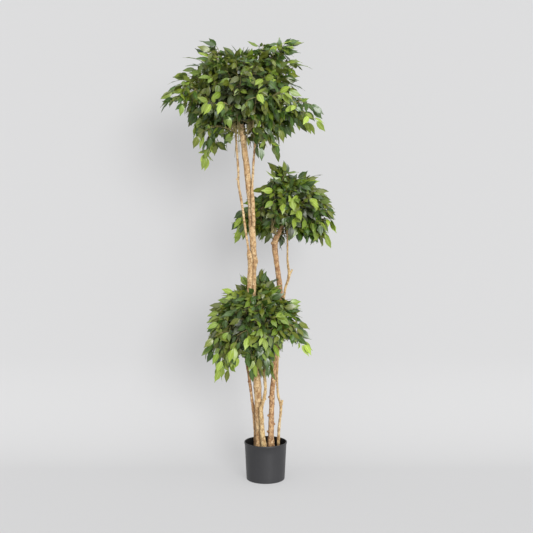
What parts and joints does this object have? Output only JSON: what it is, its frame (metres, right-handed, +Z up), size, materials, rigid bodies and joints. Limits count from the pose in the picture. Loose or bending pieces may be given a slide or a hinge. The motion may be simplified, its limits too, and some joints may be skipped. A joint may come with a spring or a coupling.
{
  "type": "artificial fig tree in a pot",
  "caption": "Tall artificial weeping fig tree on bare leaning wood stems, with leafy heads at different heights, set in a plain round dark plastic pot.",
  "frame": {"origin": "centre of the pot's flat underside", "axes": "+Z up along the stems, +X to the right of the front view, the front looks along -Y"},
  "size_m": [0.7174, 0.5556, 1.7975],
  "materials": {
    "pot": "satin",
    "cement": "matte",
    "bark": "matte",
    "leaves": "satin"
  },
  "bodies": {
    "root": {"pot": "pot", "pot_filling": "cement", "main_trunk": "bark", "twin_stem": "bark", "upper_right_stem": "bark", "left_stem": "bark", "centre_stem": "bark", "second_trunk": "bark", "right_stem": "bark", "top_head_right": "leaves", "top_head_back": "leaves", "top_head_left": "leaves", "top_head_front": "leaves", "top_head_crown": "leaves", "middle_head_right": "leaves", "middle_head_back": "leaves", "middle_head_left": "leaves", "middle_head_crown": "leaves", "bottom_head_right": "leaves", "bottom_head_back": "leaves", "bottom_head_left": "leaves", "bottom_head_front": "leaves"}
  },
  "joints": []
}
